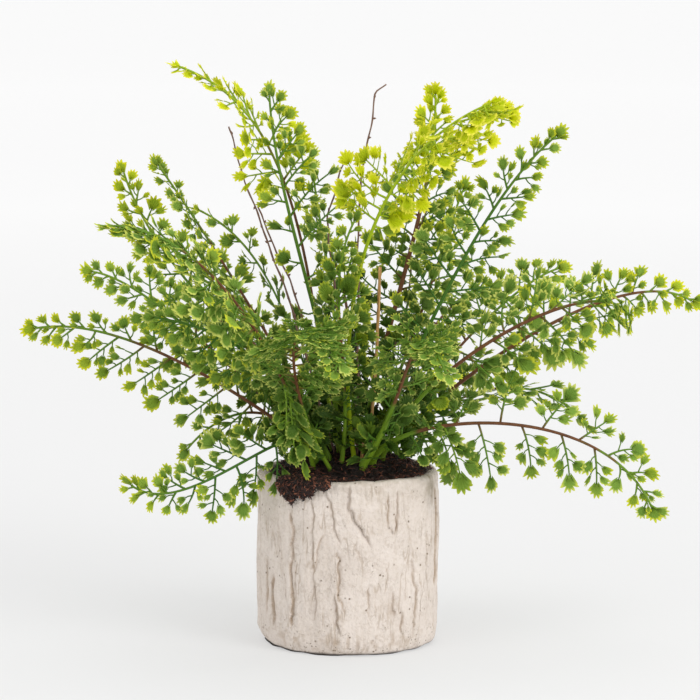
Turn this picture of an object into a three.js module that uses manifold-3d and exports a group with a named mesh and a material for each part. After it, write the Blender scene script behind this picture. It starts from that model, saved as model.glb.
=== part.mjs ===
// A maidenhair fern in a small round concrete pot, in millimetres, +Z up.
// The origin is the centre of the pot's flat underside, and -Y is the front.
// The pot's outside is cast like tree bark, the potting bark is heaped in it and spills over the
// front rim, and fronds, bare twigs and dry straws stand in holes in that bark.
import * as THREE from "three";
import Module from "manifold-3d";

const wasm = await Module();
wasm.setup();

const up = new THREE.Vector3(0, 0, 1);
const degrees = THREE.MathUtils.degToRad;
const lerp = THREE.MathUtils.lerp;
const at = (x, y, z) => new THREE.Vector3(x, y, z);
// A repeatable draw from 0 to 1 for the i-th thing of kind j.
const draw = (i, j) => {
  const wave = Math.sin(i * 12.9898 + j * 78.233) * 43758.5453;
  return wave - Math.floor(wave);
};

// Driving dimensions
const gap = 0.35; // between two pieces that rest against each other
const pot = { radius: 60, height: 115, wall: 8, floor: 10, foot: 52, footRise: 12, rimRound: 2, sides: 64 };
const furrow = { depth: 1.3, width: 2.6 }; // the widest of the bark's furrows
const soil = { edge: 113, mound: 13, peak: [0, 6], spread: 50, bump: 1.1, sides: 20 };
const spill = { inside: 41, underside: 62.4, skin: 4.2 };
const stem = { foot: 1.25, tip: 0.6, buried: 9, rise: 1.6 }; // half widths of a frond's rib
const leaf = { thickness: 0.64, stalk: 0.9, root: 1.8, big: 11, side: 10.5, spacing: 14.6 };
const clearance = { start: 2.2, room: 0.3 }; // where a spray's clear room starts, and its margin

// Furrows of the bark relief: each goes down the pot through places [angle from the front, height].
const frontFurrows = [
  [[-54, 106], [-50, 88], [-46, 62], [-41, 34]],
  [[-39, 94], [-37, 84], [-39, 58], [-37, 34], [-38, 18]],
  [[-66, 60], [-62, 40], [-64, 22]],
  [[-23, 102], [-22, 88], [-23, 66], [-21, 46], [-20, 36], [-23, 24]],
  [[-15, 82], [-19, 70], [-22, 56]],
  [[-15, 112], [-11, 100], [-8, 84], [-5, 76]],
  [[-8, 70], [-5, 58], [-6, 42], [-3, 30]],
  [[-8, 42], [-8, 24], [-5, 15]],
  [[1, 112], [2, 98], [10, 82], [16, 74]],
  [[25, 108], [26, 86], [30, 80], [33, 88], [33, 108]],
  [[30, 42], [31, 24]],
  [[36, 30], [37, 12]],
  [[60, 98], [58, 60], [61, 30]],
  [[74, 106], [77, 84], [74, 40]],
];
const backFurrows = Array.from({ length: 13 }, (_, i) => {
  const middle = 94 + i * 14.4;
  const top = 100 + 12 * draw(i, 1);
  const drop = 48 + 44 * draw(i, 2);
  return [0, 0.35, 0.7, 1].map((share, k) => [
    middle + 7 * (draw(i, 3 + k) - 0.5),
    top - share * drop,
  ]);
});
const furrows = [...frontFurrows, ...backFurrows];

// The angle of a furrow at a height, or null above and below it.
function furrowAngle(places, height) {
  for (let i = 1; i < places.length; i++) {
    const [a, high] = places[i - 1];
    const [b, low] = places[i];
    if (height <= high && height >= low) return lerp(a, b, (high - height) / (high - low));
  }
  return null;
}

// How far the pot's outside stands in or out at an angle from the front and a height.
function barkRelief(angle, height) {
  const turn = degrees(angle);
  let relief =
    0.5 * Math.sin(7 * turn + 1.3 * Math.sin(height / 17)) +
    0.35 * Math.sin(13 * turn + 2 + 1.6 * Math.sin(height / 23 + 1));
  for (const places of furrows) {
    const middle = furrowAngle(places, height);
    if (middle === null) continue;
    const aside = (degrees(((angle - middle + 540) % 360) - 180) * pot.radius) / furrow.width;
    relief -= furrow.depth * Math.exp(-aside * aside);
  }
  return relief;
}

const ringOf = (sides, radiusAt, heightAt) =>
  Array.from({ length: sides }, (_, i) => {
    const angle = (360 * i) / sides;
    const radius = radiusAt(angle);
    const turn = degrees(angle - 90);
    return at(radius * Math.cos(turn), radius * Math.sin(turn), heightAt(angle));
  });

// A closed solid through rings of equally many points, each end closed on its own apex.
function skinned(rings, startApex, endApex) {
  const points = [startApex, ...rings.flat(), endApex];
  const count = rings[0].length;
  const last = points.length - 1;
  const faces = [];
  for (let i = 0; i < count; i++) {
    const next = (i + 1) % count;
    faces.push(0, 1 + next, 1 + i);
    for (let k = 0; k + 1 < rings.length; k++) {
      const here = 1 + k * count;
      const above = here + count;
      faces.push(here + i, here + next, above + next, here + i, above + next, above + i);
    }
    faces.push(last, last - count + i, last - count + next);
  }
  return new THREE.BufferGeometry().setFromPoints(points).setIndex(faces);
}

function potGeometry() {
  const wallTop = pot.height - pot.rimRound;
  const plain = (radius, height) => ringOf(pot.sides, () => radius, () => height);
  const barked = (shrink, height, share) =>
    ringOf(pot.sides, (a) => pot.radius - shrink + share * barkRelief(a, height), () => height);
  const wallRows = 8;
  const wall = Array.from({ length: wallRows }, (_, i) =>
    barked(0, lerp(pot.footRise, wallTop, i / (wallRows - 1)), 1),
  );
  const inner = pot.radius - pot.wall;
  const rings = [
    plain(pot.foot, 0),
    barked(3, pot.footRise / 3, 0.6),
    ...wall,
    plain(pot.radius - pot.rimRound, pot.height),
    plain(inner + 1, pot.height),
    plain(inner, wallTop),
    plain(inner, pot.floor),
  ];
  return skinned(rings, at(3, 2, 0), at(0, 0, pot.floor));
}

// Height of the potting bark's surface.
function soilHeight(x, y) {
  const away = Math.hypot(x - soil.peak[0], y - soil.peak[1]) / soil.spread;
  const bumps = Math.sin(x / 5.1 + 1) * Math.cos(y / 4.3) + 0.6 * Math.sin((x + 2 * y) / 7.7);
  return soil.edge + soil.mound * Math.max(0, 1 - away * away) + soil.bump * bumps * (1 - 0.5 * away);
}

function soilGeometry() {
  const outer = pot.radius - pot.wall - gap - 0.05;
  const top = [outer, 44, 34, 23, 11].map((radius) =>
    ringOf(soil.sides, () => radius, () => 0).map((p) => p.setZ(soilHeight(p.x, p.y))),
  );
  const bottom = pot.floor + gap;
  return skinned(
    [ringOf(soil.sides, () => outer, () => bottom), ...top],
    at(0, 0, bottom),
    at(0, 0, soilHeight(0, 0)),
  );
}

// The lobes that hang over the front rim: [angle from the front, lowest point].
const spillLobes = [
  [-48, 113], [-43, 105], [-37, 98], [-32, 104], [-27, 103], [-21, 109], [-15, 110], [-9, 114],
];

// A closed solid from a sheet of points, each with a normal and half a thickness, and its faces.
function thickened(points, faces) {
  const count = points.length;
  const both = [
    ...points.map(({ place, normal, half }) => place.clone().addScaledVector(normal, half)),
    ...points.map(({ place, normal, half }) => place.clone().addScaledVector(normal, -half)),
  ];
  const edges = new Set();
  faces.forEach((f) => f.forEach((a, i) => edges.add(`${a},${f[(i + 1) % 3]}`)));
  const index = [];
  for (const [a, b, c] of faces) index.push(a, b, c, count + c, count + b, count + a);
  for (const edge of edges) {
    const [a, b] = edge.split(",").map(Number);
    if (!edges.has(`${b},${a}`)) index.push(b, a, count + a, b, count + a, count + b);
  }
  return new THREE.BufferGeometry().setFromPoints(both).setIndex(index);
}

function spillGeometry() {
  const under = spill.underside;
  const half = spill.skin / 2;
  const points = [];
  for (const [angle, lowest] of spillLobes) {
    const turn = degrees(angle - 90);
    const out = at(Math.cos(turn), Math.sin(turn), 0);
    const slant = out.clone().add(up).normalize();
    const put = (radius, height, normal, thick) =>
      points.push({ place: out.clone().multiplyScalar(radius).setZ(height), normal, half: thick });
    const over = pot.height + 0.6 + half;
    const edge = (lowest - 98) / 16; // thinner where the lobe is short
    put(spill.inside, over - 0.5, up, half);
    put(56, over + 0.5 - 0.9 * edge, up, half - 0.2 * edge);
    put(under + half, over, slant, half * 1.3);
    put(under + half, Math.min(over - 1.5, lerp(over, lowest, 0.55)), out, half);
    put(under + 0.9, Math.min(over - 3, lowest), out, 0.8);
  }
  const faces = [];
  const rows = 5;
  for (let i = 0; i + 1 < spillLobes.length; i++)
    for (let k = 0; k + 1 < rows; k++) {
      const a = i * rows + k;
      faces.push([a, a + 1, a + rows + 1], [a, a + rows + 1, a + rows]);
    }
  return thickened(points, faces);
}

function solidFrom(geometry) {
  return new wasm.Manifold(
    new wasm.Mesh({
      numProp: 3,
      vertProperties: new Float32Array(geometry.getAttribute("position").array),
      triVerts: new Uint32Array(geometry.index.array),
    }),
  );
}

function geometryFrom(solid) {
  const mesh = solid.getMesh();
  return new THREE.BufferGeometry()
    .setAttribute("position", new THREE.BufferAttribute(new Float32Array(mesh.vertProperties), 3))
    .setIndex(new THREE.BufferAttribute(new Uint32Array(mesh.triVerts), 1));
}

// Fronds. Each rib starts at foot on the bark and passes through low and high to tip. face is where
// the leaf side looks, turned by twist degrees towards the tip. reach is the longest side spray,
// uneven makes the left sprays longer and the right ones shorter, and bare is the share without any.
const usual = { face: [0, -1, 0.2], twist: 0, reach: 40, uneven: 0, bare: 0.3 };
const fronds = [
  { foot: [-17, -7], low: [-59, -14, 158], high: [-130, -26, 200], tip: [-204, -38, 215], reach: 44,
    uneven: 0.2 },
  { foot: [-21, -15], low: [-44, -36, 139], high: [-93, -57, 117], tip: [-140, -76, 118], reach: 34 },
  { foot: [-17, 1], low: [-72, 6, 177], high: [-125, 2, 224], tip: [-168, -6, 248], reach: 36,
    twist: 10 },
  { foot: [-14, 16], low: [-61, 38, 183], high: [-114, 52, 241], tip: [-151, 58, 302],
    face: [0.3, -1, 0], reach: 42 },
  { foot: [-23, -23], low: [-49, -62, 198], high: [-93, -94, 263], tip: [-150, -114, 291],
    face: [-0.2, -0.5, 1], twist: 20, reach: 46 },
  { foot: [-11, 8], low: [-48, 20, 192], high: [-90, 28, 260], tip: [-126, 32, 314],
    face: [-0.9, 0.1, 0.6], reach: 34 },
  { foot: [-6, 2], low: [-23, 6, 225], high: [-48, -12, 323], tip: [-108, -46, 386],
    face: [-0.5, -0.6, 0.6], twist: 30, reach: 40, bare: 0.36 },
  { foot: [-4, -6], low: [-19, -13, 210], high: [-39, -22, 291], tip: [-51, -28, 366],
    face: [0, -1, 0], reach: 38 },
  { foot: [0, 14], low: [-8, 26, 205], high: [-17, 36, 266], tip: [-24, 42, 312],
    face: [0.9, -0.5, 0], reach: 24 },
  { foot: [-7, 23], low: [-31, 46, 182], high: [-58, 62, 240], tip: [-102, 76, 280],
    face: [-0.7, 0.1, 0.7], reach: 30 },
  { foot: [4, -14], low: [2, -37, 221], high: [28, -62, 308], tip: [90, -88, 366], reach: 48,
    bare: 0.4, twist: -10, uneven: 0.1 },
  { foot: [15, 0], low: [50, 2, 203], high: [90, -4, 280], tip: [136, -10, 338], face: [0.1, -1, 0] },
  { foot: [23, 1], low: [85, 0, 181], high: [164, 6, 225], tip: [228, 6, 227], face: [0, -1, 0.4],
    reach: 34, bare: 0.42 },
  { foot: [23, -9], low: [71, -28, 189], high: [141, -50, 231], tip: [180, -100, 228],
    face: [0.1, -1, 0.6], twist: 40, reach: 48, bare: 0.36 },
  { foot: [16, -20], low: [60, -38, 150], high: [138, -54, 148], tip: [197, -68, 102], reach: 42 },
  { foot: [-12, -28], low: [-33, -54, 179], high: [-31, -96, 220], tip: [-4, -146, 208],
    face: [0, -0.4, 1], reach: 42 },
  { foot: [10, -27], low: [34, -56, 179], high: [46, -92, 214], tip: [62, -136, 200],
    face: [0.1, -0.5, 1], reach: 40 },
  { foot: [9, 7], low: [28, 20, 208], high: [49, 30, 288], tip: [58, 26, 362], face: [0, -1, 0.1],
    reach: 44 },
  { foot: [-4, -20], low: [-3, -34, 187], high: [-6, -46, 240], tip: [4, -54, 287],
    face: [-0.3, -1, 0.1], reach: 30 },
  { foot: [-25, 3], low: [-49, -1, 150], high: [-78, -10, 152], tip: [-106, -20, 132],
    face: [0, -1, 0.4], reach: 26 },
  { foot: [-13, -15], low: [-51, -36, 185], high: [-87, -60, 215], tip: [-124, -80, 228],
    face: [-0.2, -1, 0.6], reach: 36 },
  { foot: [14, 17], low: [45, 42, 202], high: [66, 60, 261], tip: [78, 72, 294],
    face: [0.3, -1, 0.2], reach: 36 },
  { foot: [23, 11], low: [62, 34, 177], high: [106, 50, 220], tip: [142, 58, 242],
    face: [0.1, -0.8, 0.7] },
  { foot: [3, 23], low: [0, 64, 208], high: [-12, 98, 250], tip: [-26, 126, 270], face: [0, 0.7, 0.8] },
  { foot: [-19, 20], low: [-56, 66, 178], high: [-92, 112, 212], tip: [-124, 152, 208],
    face: [-0.3, 0.5, 1] },
  { foot: [17, 25], low: [50, 78, 186], high: [84, 124, 216], tip: [114, 160, 202],
    face: [0.3, 0.5, 1] },
  { foot: [-6, 29], low: [-14, 76, 170], high: [-24, 124, 186], tip: [-30, 170, 160], face: [0, 0.6, 1],
    reach: 38 },
  { foot: [28, 19], low: [76, 62, 152], high: [124, 92, 154], tip: [166, 112, 126],
    face: [0.4, 0.3, 1], reach: 34 },
].map((frond) => ({ ...usual, ...frond }));

// A rib's place at a share of its way, on the cubic through its four points at 0, 1/3, 2/3 and 1.
function ribPlace(ends, share) {
  const [a, b, c, d] = ends;
  const [t, u] = [share, 3 * share];
  return at(0, 0, 0)
    .addScaledVector(a, ((1 - u) * (2 - u) * (1 - t)) / 2)
    .addScaledVector(b, (u * (2 - u) * (3 - u)) / 2)
    .addScaledVector(c, (u * (u - 1) * (3 - u)) / 2)
    .addScaledVector(d, (t * (u - 1) * (u - 2)) / 2);
}

function ribOf(frond) {
  const foot = at(frond.foot[0], frond.foot[1], soilHeight(...frond.foot) + stem.rise);
  const ends = [foot, at(...frond.low), at(...frond.high), at(...frond.tip)];
  let length = 0;
  for (let i = 0; i < 24; i++) length += ribPlace(ends, i / 24).distanceTo(ribPlace(ends, (i + 1) / 24));
  // The rib's place, its way along, its leaf side's normal and its left side at a share of its way.
  const frameAt = (share) => {
    const step = 0.01;
    const along = ribPlace(ends, share + step).sub(ribPlace(ends, share - step)).normalize();
    const left = at(...frond.face).cross(along).normalize();
    left.applyAxisAngle(along, degrees(frond.twist * share));
    return { place: ribPlace(ends, share), along, left, normal: along.clone().cross(left) };
  };
  return { foot, length, frameAt };
}

const onLine = (origin, angle, distance) => [
  origin[0] + distance * Math.cos(angle),
  origin[1] + distance * Math.sin(angle),
];

// Fans of a leaflet's blade: [degrees from its middle, share of its length].
const lobedFan = [[-38, 1], [0, 0.78], [38, 1]];
const toothedFan = [[-54, 0.8], [-26, 0.68], [0, 1], [26, 0.68], [54, 0.8]];
const sideFan = [[30, 1], [72, 1]];

// The outline of a side spray, along its stalk and across it, from one side of its root round to the
// other: a leaflet at its end and, on a long one, a fan-shaped leaflet on each side.
function sprayOutline(length) {
  const half = leaf.stalk / 2;
  const long = length > 2.4 * leaf.big;
  const end = long ? leaf.big : Math.min(leaf.big, length * 0.75);
  const neck = length - end;
  const sideLeaf = (share, side) => {
    const middle = neck * share;
    const fan = sideFan.map(([turn, part]) =>
      onLine([middle, side * half], side * degrees(turn), leaf.side * part),
    );
    return [[middle + 0.7, side * half], ...fan, [middle - 0.7, side * half]];
  };
  const fan = (long ? lobedFan : toothedFan).map(([turn, part]) =>
    onLine([neck, 0], degrees(turn), end * part),
  );
  return [
    ...(long ? sideLeaf(0.42, -1).reverse() : []),
    [neck, -half],
    ...fan,
    [neck, half],
    ...(long ? sideLeaf(0.8, 1) : []),
  ];
}

// A spray's points in space, bent out of the frond's plane by lift degrees.
function sprayPoints(frame, side, spread, lift, outline, half = leaf.thickness / 2) {
  const turn = degrees(spread);
  const flat = frame.along.clone().multiplyScalar(Math.cos(turn));
  flat.addScaledVector(frame.left, side * Math.sin(turn));
  const raised = degrees(lift);
  const out = flat.clone().multiplyScalar(Math.cos(raised));
  out.addScaledVector(frame.normal, Math.sin(raised));
  const normal = frame.normal.clone().multiplyScalar(Math.cos(raised));
  normal.addScaledVector(flat, -Math.sin(raised));
  const across = normal.clone().cross(out);
  const reach = Math.max(...outline.map(([along]) => along));
  return outline.map(([along, aside]) => ({
    place: frame.place
      .clone()
      .addScaledVector(out, along)
      .addScaledVector(across, aside)
      .addScaledVector(normal, -1.6 * (along / reach) ** 2),
    normal,
    half,
  }));
}

function polygonFaces(outline) {
  const contour = outline.map(([x, y]) => new THREE.Vector2(x, y));
  return THREE.ShapeUtils.triangulateShape(contour, []).map(([a, b, c]) => {
    const turned = contour[b].clone().sub(contour[a]).cross(contour[c].clone().sub(contour[a])) > 0;
    return turned ? [a, b, c] : [a, c, b];
  });
}

// Solids that no later spray may cross, each with its box.
const taken = [];
const boxOf = (solid) => {
  const { min, max } = solid.boundingBox();
  return new THREE.Box3(at(...min), at(...max));
};
const keep = (solid) => taken.push({ solid, box: boxOf(solid) });

// Keeps a spray's room if nothing is in it: the spray from just off its rib, a little thicker.
function findRoom(frame, side, spread, lift, outline) {
  const half = leaf.stalk / 2;
  const shape = [[clearance.start, -half], ...outline, [clearance.start, half]];
  const points = sprayPoints(frame, side, spread, lift, shape, leaf.thickness / 2 + clearance.room);
  const solid = solidFrom(thickened(points, polygonFaces(shape)));
  const box = boxOf(solid);
  const crossed = taken.some(
    (other) => other.box.intersectsBox(box) && other.solid.intersect(solid).volume() > 1e-6,
  );
  if (!crossed) keep(solid);
  return !crossed;
}

const ribHalf = (share) => lerp(stem.foot, stem.tip, Math.sqrt(Math.max(0, share)));

// A rib's left and right edges as a strip, from its buried end to its tip.
function ribEdges(rib, bare, roots) {
  const side = rib.frameAt(0).left.clone().setZ(0).normalize();
  const upright = { left: side, normal: up.clone().cross(side) };
  const buried = (depth) => ({ ...upright, place: rib.foot.clone().addScaledVector(up, -depth) });
  return [1, -1].map((turn) => {
    const grown = roots.filter((root) => root.side === turn).flatMap((root) => root.ends);
    const frames = [bare * 0.3, bare * 0.7, ...grown, 1].map((share) => ({
      share,
      ...rib.frameAt(share),
    }));
    const start = [
      { share: -1, ...buried(stem.buried + stem.rise) },
      { share: 0, ...buried(0) },
    ];
    return [...start, ...frames].map(({ share, place, left, normal }) => ({
      share,
      place: place.clone().addScaledVector(left, turn * ribHalf(share)),
      normal,
      half: ribHalf(share),
    }));
  });
}

// Fills the strip between the two edges, always stepping on along the one that lags.
function ribFaces(left, right) {
  const faces = [];
  const first = left.length;
  let [i, j] = [0, 0];
  while (i + 1 < left.length || j + 1 < right.length) {
    const rightDone = j + 1 === right.length;
    const onLeft = rightDone || (i + 1 < left.length && left[i + 1].share < right[j + 1].share);
    faces.push(onLeft ? [i, first + j, i + 1] : [i, first + j, first + j + 1]);
    if (onLeft) i++;
    else j++;
  }
  return faces;
}

// Where the side sprays leave the rib, closer together towards its tip and on alternate sides.
function sprayRoots(frond, rib, number) {
  const leafy = rib.length * (1 - frond.bare);
  const count = THREE.MathUtils.clamp(Math.round(leafy / leaf.spacing), 6, 12);
  const halfRoot = leaf.root / 2 / rib.length;
  return Array.from({ length: count }, (_, i) => {
    const along = 1 - (1 - (i + 0.3) / count) ** 1.3;
    const share = frond.bare + along * (1 - frond.bare);
    const side = i % 2 ? 1 : -1;
    const taper = Math.min(0.75 + 1.2 * along, 1, 1.25 - 1.05 * along);
    return {
      share,
      side,
      ends: [share - halfRoot, share + halfRoot],
      reach: frond.reach * taper * (1 + side * frond.uneven),
      spread: lerp(68, 38, along) + 10 * (draw(number, i) - 0.5),
      lift: 14 * (draw(i, number) - 0.5),
    };
  });
}

const liftsToTry = [0, 12, -12, 24, -24, 36, -36, 50, -50];
const lengthsToTry = [1, 0.8, 0.62];

// The outline and points of a side spray bent or shortened until it has room, or null.
function grownSpray(rib, { share, side, spread, reach, lift }) {
  const frame = rib.frameAt(share);
  for (const part of lengthsToTry)
    for (const bend of liftsToTry) {
      const outline = sprayOutline(reach * part);
      if (!findRoom(frame, side, spread, lift + bend, outline)) continue;
      return { outline, blade: sprayPoints(frame, side, spread, lift + bend, outline) };
    }
  return null;
}

function frondGeometry(frond, number, rib) {
  const tip = grownSpray(rib, { share: 1, side: 1, spread: 0, reach: leaf.big * 1.2, lift: 0 });
  const sprays = sprayRoots(frond, rib, number)
    .map((root) => ({ root, ...grownSpray(rib, root) }))
    .filter((spray) => spray.blade);
  const [left, right] = ribEdges(rib, frond.bare, sprays.map((spray) => spray.root));
  const points = [...left, ...right];
  const faces = ribFaces(left, right);
  const addBlade = (start, end, { blade, outline }) => {
    const half = leaf.root / 2;
    const ids = [start, ...blade.map((_, k) => points.length + k), end];
    const contour = [[0, -half], ...outline, [0, half]];
    points.push(...blade);
    faces.push(...polygonFaces(contour).map((face) => face.map((k) => ids[k])));
  };
  for (const side of [1, -1])
    sprays
      .filter((spray) => spray.root.side === side)
      .forEach((spray, k) => {
        const lower = (side === 1 ? 0 : left.length) + 4 + 2 * k;
        if (side === 1) addBlade(lower + 1, lower, spray);
        else addBlade(lower, lower + 1, spray);
      });
  if (tip) addBlade(left.length + right.length - 1, left.length - 1, tip);
  return thickened(points, faces);
}

// Bare twigs and dry straws: the places that each passes, the first one on the bark.
const stickSides = 5;
const twigs = [
  { name: "twig_1", places: [[-9, -1], [-39, 8, 227], [-54, 11, 268], [-68, 14, 305], [-79, 16, 342]] },
  { name: "twig_2", places: [[6, -8], [7, -9, 296], [12, -9, 329], [18, -9, 366], [25, -10, 372]] },
  { name: "twig_3", places: [[-1, 7], [-39, 20, 239], [-51, 21, 266], [-60, 22, 288]] },
  { name: "twig_4", places: [[4, 3], [-11, 6, 254], [-14, 8, 284], [-3, 8, 318]] },
  { name: "twig_5", places: [[12, 28], [40, 46, 220], [44, 54, 262], [54, 58, 284]] },
].map((stick) => ({ ...stick, half: 0.85, taper: 0.6 }));
const straws = [
  { name: "straw_1", places: [[14, -8], [19, -10, 196], [21, -12, 252]] },
  { name: "straw_2", places: [[9, -15], [12, -18, 150]] },
  { name: "straw_3", places: [[3, -5], [6, -6, 146]] },
  { name: "straw_4", places: [[21, 22], [33, 36, 168]] },
].map((stick) => ({ ...stick, half: 1.2, taper: 0.85 }));

function stickGeometry({ places, half, taper }) {
  const [x, y] = places[0];
  const onBark = at(x, y, soilHeight(x, y) + stem.rise);
  const path = [
    at(x, y, onBark.z - stem.buried - stem.rise),
    onBark,
    ...places.slice(1).map((p) => at(...p)),
  ];
  const rings = path.map((place, i) => {
    const before = path[Math.max(0, i - 1)];
    const along = path[Math.min(path.length - 1, i + 1)].clone().sub(before).normalize();
    if (i < 2) along.copy(up);
    const side = at(0, 1, 0).cross(along).normalize();
    const other = along.clone().cross(side);
    const radius = half * lerp(1, taper, i / (path.length - 1));
    return Array.from({ length: stickSides }, (_, k) => {
      const turn = (2 * Math.PI * k) / stickSides;
      return place
        .clone()
        .addScaledVector(side, radius * Math.cos(turn))
        .addScaledVector(other, radius * Math.sin(turn));
    });
  });
  return skinned(rings, path[0].clone().addScaledVector(up, -0.2), path.at(-1).clone());
}

// A square hole in the bark round a stem that stands in it.
function holeSolid(x, y, half, side) {
  const room = (half + gap) * Math.SQRT2;
  const top = soilHeight(x, y);
  const bottom = top - stem.buried - 2 * gap;
  const other = up.clone().cross(side);
  const ring = (z) =>
    [45, 135, 225, 315].map((turn) =>
      at(x, y, z)
        .addScaledVector(side, room * Math.cos(degrees(turn)))
        .addScaledVector(other, room * Math.sin(degrees(turn))),
    );
  return solidFrom(skinned([ring(bottom), ring(top + 6)], at(x, y, bottom), at(x, y, top + 6)));
}

const materialOf = (color, roughness) => new THREE.MeshStandardMaterial({ color, roughness, metalness: 0 });
const materials = {
  concrete: materialOf("#d3c8ba", 0.9),
  bark: materialOf("#33211a", 0.95),
  green: materialOf("#5f8f3a", 0.5),
  lime: materialOf("#a9c41c", 0.5),
  twig: materialOf("#5e4138", 0.8),
  straw: materialOf("#a97f4c", 0.8),
};
const fern = new THREE.Group();
const addPiece = (name, geometry, material) => {
  const mesh = new THREE.Mesh(geometry, material);
  mesh.name = name;
  fern.add(mesh);
};

addPiece("pot", potGeometry(), materials.concrete);
keep(solidFrom(fern.children[0].geometry));

let bark = solidFrom(soilGeometry()).add(solidFrom(spillGeometry()));
keep(bark);
for (const stick of [...twigs, ...straws]) {
  const isTwig = stick.name.startsWith("twig");
  addPiece(stick.name, stickGeometry(stick), isTwig ? materials.twig : materials.straw);
  keep(solidFrom(stickGeometry({ ...stick, half: stick.half + gap })));
  bark = bark.subtract(holeSolid(...stick.places[0], stick.half, at(1, 0, 0)));
}

const ribs = fronds.map(ribOf);
ribs.forEach((rib, i) => {
  const halves = [1, -1].map((side) => ({ side, ends: [0.5, 0.75] }));
  const [left, right] = ribEdges(rib, fronds[i].bare, halves);
  const wide = [...left, ...right].map((point) => ({ ...point, half: point.half + gap }));
  keep(solidFrom(thickened(wide, ribFaces(left, right))));
  const side = rib.frameAt(0).left.clone().setZ(0).normalize();
  bark = bark.subtract(holeSolid(...fronds[i].foot, stem.foot, side));
});
fronds.forEach((frond, i) => {
  const name = `frond_${String(i + 1).padStart(2, "0")}`;
  const isLime = [6, 10].includes(i);
  addPiece(name, frondGeometry(frond, i, ribs[i]), isLime ? materials.lime : materials.green);
});
addPiece("potting_bark", geometryFrom(bark), materials.bark);

export default fern;
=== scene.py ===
import math

import bpy
import numpy as np
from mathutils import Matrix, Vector


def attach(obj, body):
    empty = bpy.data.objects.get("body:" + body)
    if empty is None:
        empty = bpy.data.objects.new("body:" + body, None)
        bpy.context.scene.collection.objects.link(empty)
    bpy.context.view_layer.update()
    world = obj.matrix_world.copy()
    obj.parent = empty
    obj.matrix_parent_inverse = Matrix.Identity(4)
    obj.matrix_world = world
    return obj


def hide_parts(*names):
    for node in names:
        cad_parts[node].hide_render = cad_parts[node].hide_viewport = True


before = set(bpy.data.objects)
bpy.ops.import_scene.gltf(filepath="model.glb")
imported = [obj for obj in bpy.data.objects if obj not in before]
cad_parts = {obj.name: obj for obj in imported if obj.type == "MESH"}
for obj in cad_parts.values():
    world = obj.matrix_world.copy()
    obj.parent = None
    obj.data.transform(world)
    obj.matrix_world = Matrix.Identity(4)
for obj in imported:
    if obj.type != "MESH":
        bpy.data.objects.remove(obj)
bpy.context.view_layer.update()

scene = bpy.context.scene
mm = 0.001

shot = {"target": (1.3, 0, 195), "rise": 8.5, "away": 2500, "lens": 193.94, "sensor": 36}


def placeCamera():
    rise = math.radians(shot["rise"])
    back = Vector((0, -math.cos(rise), math.sin(rise)))
    data = bpy.data.cameras.new("photoCamera")
    data.lens, data.sensor_width = shot["lens"], shot["sensor"]
    camera = bpy.data.objects.new("photoCamera", data)
    camera.location = (Vector(shot["target"]) + back * shot["away"]) * mm
    camera.rotation_euler = (-back).to_track_quat("-Z", "Y").to_euler()
    scene.collection.objects.link(camera)
    scene.camera = camera


placeCamera()
print("camera placed")


def colour(code):
    shares = [int(code[i : i + 2], 16) / 255 for i in (1, 3, 5)]
    return (*(s / 12.92 if s <= 0.04045 else ((s + 0.055) / 1.055) ** 2.4 for s in shares), 1)


def addNode(tree, kind, values=None, stops=None, **settings):
    node = tree.nodes.new("ShaderNode" + kind)
    for name, value in settings.items():
        setattr(node, name, value)
    for name, value in (values or {}).items():
        if isinstance(value, bpy.types.NodeSocket):
            tree.links.new(value, node.inputs[name])
        else:
            node.inputs[name].default_value = colour(value) if isinstance(value, str) else value
    if stops:
        ramp = node.color_ramp.elements
        while len(ramp) < len(stops):
            ramp.new(1)
        for element, (place, code) in zip(ramp, stops):
            element.position, element.color = place, colour(code)
    return node


mixA, mixB, mixed = 6, 7, 2  # a Mix node's colour sockets


def blend(tree, share, first, second, **settings):
    node = addNode(tree, "Mix", {0: share, mixA: first, mixB: second}, data_type="RGBA", **settings)
    return node.outputs[mixed]


def newMaterial(name):
    material = bpy.data.materials.new(name)
    material.use_nodes = True
    material.node_tree.nodes.clear()
    return material, material.node_tree


def attribute(tree, name):
    return addNode(tree, "Attribute", attribute_name=name).outputs["Fac"]


def noise(tree, size, detail=3.0, stretch=(1, 1, 1), curl=0.0):
    place = addNode(tree, "TexCoord").outputs["Object"]
    if stretch != (1, 1, 1):
        place = addNode(tree, "Mapping", {"Vector": place, "Scale": stretch}).outputs[0]
    values = {"Vector": place, "Scale": 1 / (size * mm), "Detail": detail, "Distortion": curl}
    return addNode(tree, "TexNoise", values).outputs["Fac"]


def ramped(tree, share, *stops):
    return addNode(tree, "ValToRGB", {"Fac": share}, stops=stops).outputs["Color"]


def contour(tree, share, half):  # thin lines where the noise crosses its middle
    return ramped(tree, share, (0.5 - half, "#000000"), (0.5, "#FFFFFF"), (0.5 + half, "#000000"))


def surface(tree, shader):
    addNode(tree, "OutputMaterial", {"Surface": shader})


# Geometry shared by the pieces, in millimetres


def unit(v):
    return v / np.linalg.norm(v, axis=-1, keepdims=True)


def turned(v, axis, angle):  # about a unit axis, in degrees
    a = math.radians(angle)
    return v * math.cos(a) + np.cross(axis, v) * math.sin(a) + axis * (axis @ v) * (1 - math.cos(a))


def draw(i, j):
    wave = math.sin(i * 12.9898 + j * 78.233) * 43758.5453
    return wave - math.floor(wave)


def smooth(x, low, high):
    share = np.clip((np.asarray(x, float) - low) / (high - low), 0, 1)
    return share * share * (3 - 2 * share)


def newHeap():
    return {"points": [], "faces": [], "parts": [], "values": {}, "count": 0}


def pour(heap, points, faces, part=0, **values):
    start = heap["count"]
    heap["points"].append(points)
    heap["faces"].extend([start + i for i in face] for face in faces)
    heap["parts"].extend([part] * len(faces))
    for name, value in values.items():
        heap["values"].setdefault(name, []).append(np.broadcast_to(value, len(points)))
    heap["count"] += len(points)


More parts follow.
